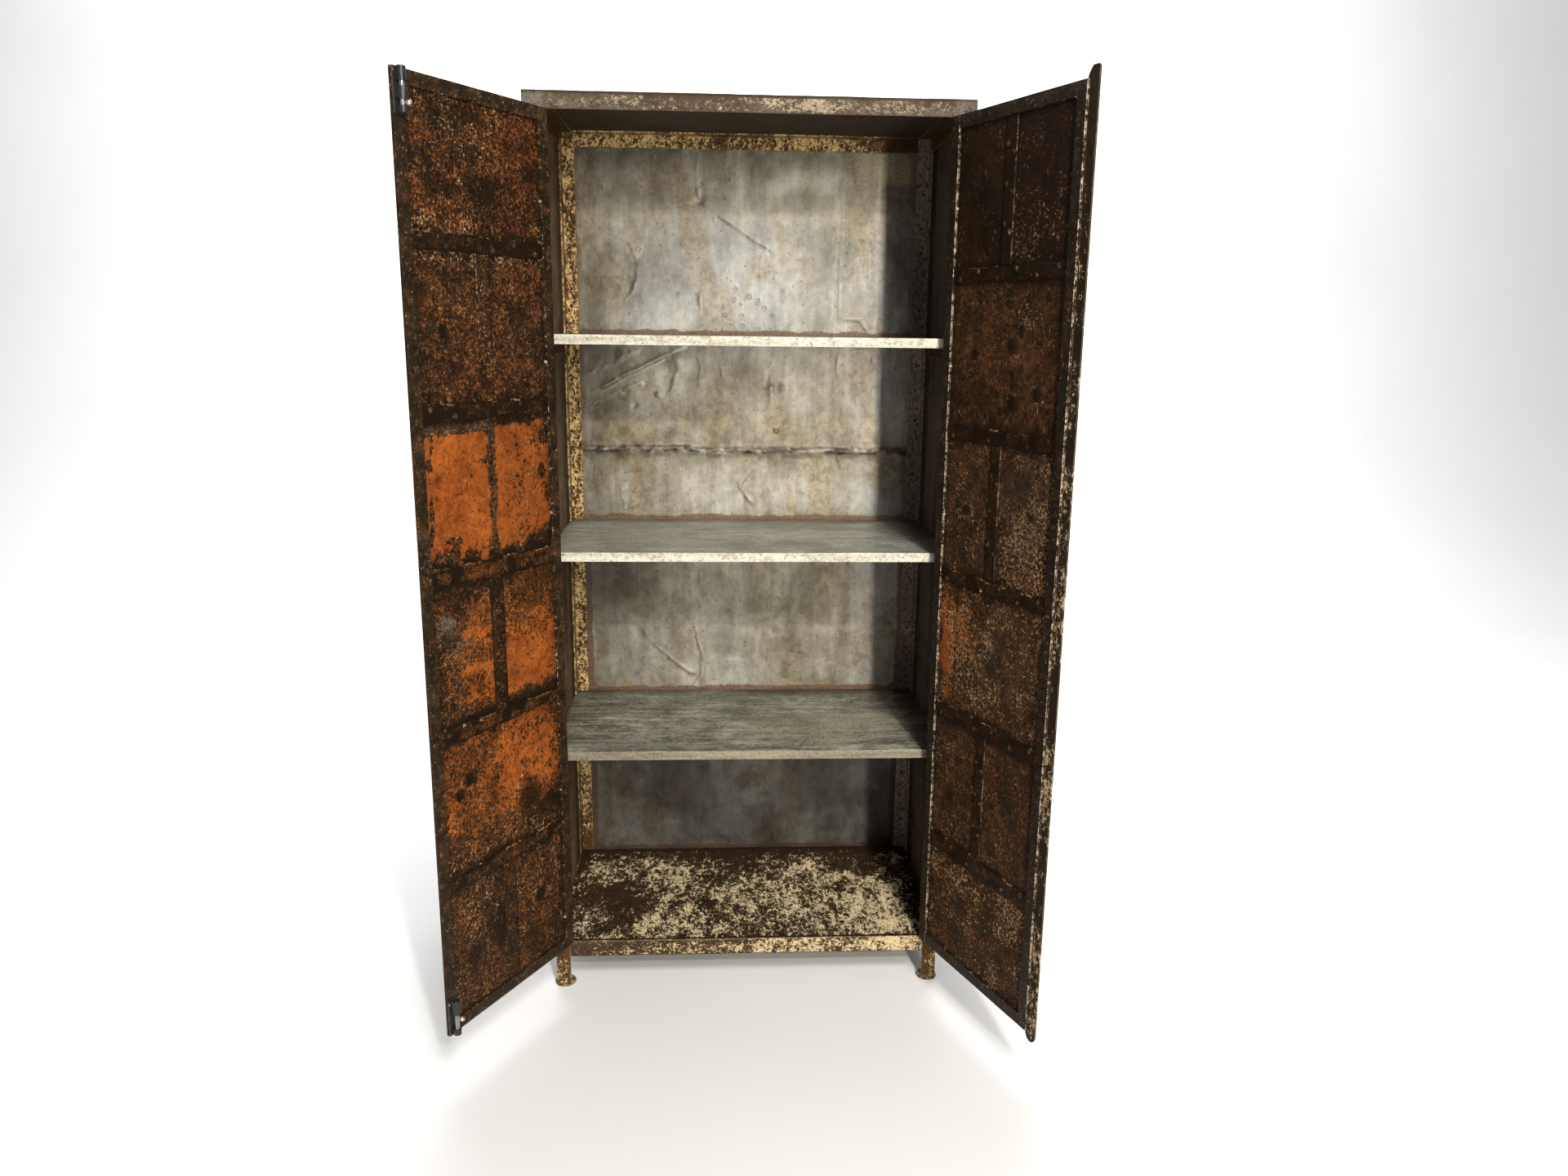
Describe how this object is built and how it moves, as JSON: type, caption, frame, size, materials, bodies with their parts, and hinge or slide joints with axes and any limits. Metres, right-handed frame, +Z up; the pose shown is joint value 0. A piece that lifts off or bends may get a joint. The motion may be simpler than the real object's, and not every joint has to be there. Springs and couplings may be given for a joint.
{
  "type": "two-door metal cabinet",
  "caption": "Tall riveted iron cabinet on angle-iron legs with tray shelves, strapped sheet doors that swing open, tower bolts, a cover strip and a hasp.",
  "frame": {"origin": "on the floor, at the centre of the rectangle of the four legs", "axes": "+Z up, +X to the right when facing the cabinet's front, front towards -Y"},
  "size_m": [1.152, 0.861, 1.9],
  "materials": {
    "post_paint": "chipped cream paint over brown iron, matt",
    "foot_iron": "pale rusty paint, matt",
    "cap_paint": "flaked cream paint on grey-brown sheet",
    "floor_paint": "flaked cream paint over dark brown sheet",
    "back_bare": "bare stained sheet steel, semi-matt",
    "side_skin": "dark rusty brown paint, matt",
    "shelf_zinc": "brushed grey zinc with a worn pale front edge",
    "rivet_iron": "dark brown iron",
    "hinge_iron": "dark brown oiled iron",
    "door_bar": "dark oily brown paint on flat bar",
    "door_skin": "rusty brown and orange worn paint",
    "cover_paint": "brown and cream flecked paint",
    "bolt_black": "black japanned steel",
    "bolt_steel": "worn bright steel",
    "hasp_iron": "dark iron"
  },
  "bodies": {
    "carcass": {"post_front_left": "post_paint", "post_front_right": "post_paint", "post_rear_left": "post_paint", "post_rear_right": "post_paint", "foot_discs": "foot_iron", "bottom_rail_front": "post_paint", "bottom_rail_rear": "post_paint", "bottom_rails_side": "post_paint", "top_rail_front": "post_paint", "top_rail_rear": "post_paint", "top_rails_side": "post_paint", "top_cap": "cap_paint", "floor_sheet": "floor_paint", "back_sheet_upper": "back_bare", "back_sheet_lower": "back_bare", "side_sheet_left": "side_skin", "side_sheet_right": "side_skin", "shelf_upper": "shelf_zinc", "shelf_middle": "shelf_zinc", "shelf_lower": "shelf_zinc", "shelf_cleats": "post_paint", "carcass_rivets": "rivet_iron", "hinge_post_leaves": "hinge_iron", "hinge_pins": "hinge_iron"},
    "left_door": {"left_door_hinge_stile": "door_bar", "left_door_free_stile": "door_bar", "left_door_rails": "door_bar", "left_door_sheet_1": "door_skin", "left_door_sheet_2": "door_skin", "left_door_sheet_3": "door_skin", "left_door_sheet_4": "door_skin", "left_door_sheet_5": "door_skin", "left_door_sheet_6": "door_skin", "left_door_cross_straps": "door_bar", "left_door_upright_straps": "door_bar", "left_door_rivets": "rivet_iron", "left_door_hinge_leaves": "hinge_iron", "upper_bolt_barrel": "bolt_black", "lower_bolt_barrel": "bolt_black", "hasp_staple": "hasp_iron"},
    "upper_bolt": {"upper_bolt_rod": "bolt_steel"},
    "lower_bolt": {"lower_bolt_rod": "bolt_steel"},
    "right_door": {"right_door_hinge_stile": "door_bar", "right_door_free_stile": "door_bar", "right_door_rails": "door_bar", "right_door_sheet_1": "door_skin", "right_door_sheet_2": "door_skin", "right_door_sheet_3": "door_skin", "right_door_sheet_4": "door_skin", "right_door_sheet_5": "door_skin", "right_door_sheet_6": "door_skin", "right_door_cross_straps": "door_bar", "right_door_upright_straps": "door_bar", "right_door_rivets": "rivet_iron", "right_door_hinge_leaves": "hinge_iron", "right_door_cover_strip": "cover_paint", "hasp_base": "hasp_iron", "hasp_pin": "hasp_iron"},
    "hasp": {"hasp_tongue": "hasp_iron"}
  },
  "joints": [
    {"name": "left_door_hinge", "type": "hinge", "parent": "carcass", "child": "left_door", "pos_m": [-0.396, -0.237, 0.985], "axis": [0, 0, -1], "range_deg": [-120, 50]},
    {"name": "right_door_hinge", "type": "hinge", "parent": "carcass", "child": "right_door", "pos_m": [0.396, -0.237, 0.985], "axis": [0, 0, 1], "range_deg": [-112.8, 57.2]},
    {"name": "upper_bolt_slide", "type": "slide", "parent": "left_door", "child": "upper_bolt", "axis": [0, 0, 1], "range_m": [0, 0.02]},
    {"name": "lower_bolt_slide", "type": "slide", "parent": "left_door", "child": "lower_bolt", "axis": [0, 0, -1], "range_m": [0, 0.022]},
    {"name": "hasp_hinge", "type": "hinge", "parent": "right_door", "child": "hasp", "pos_m": [0.54425, -0.58581, 0.95], "axis": [0, 0, -1], "range_deg": [0, 150]}
  ]
}
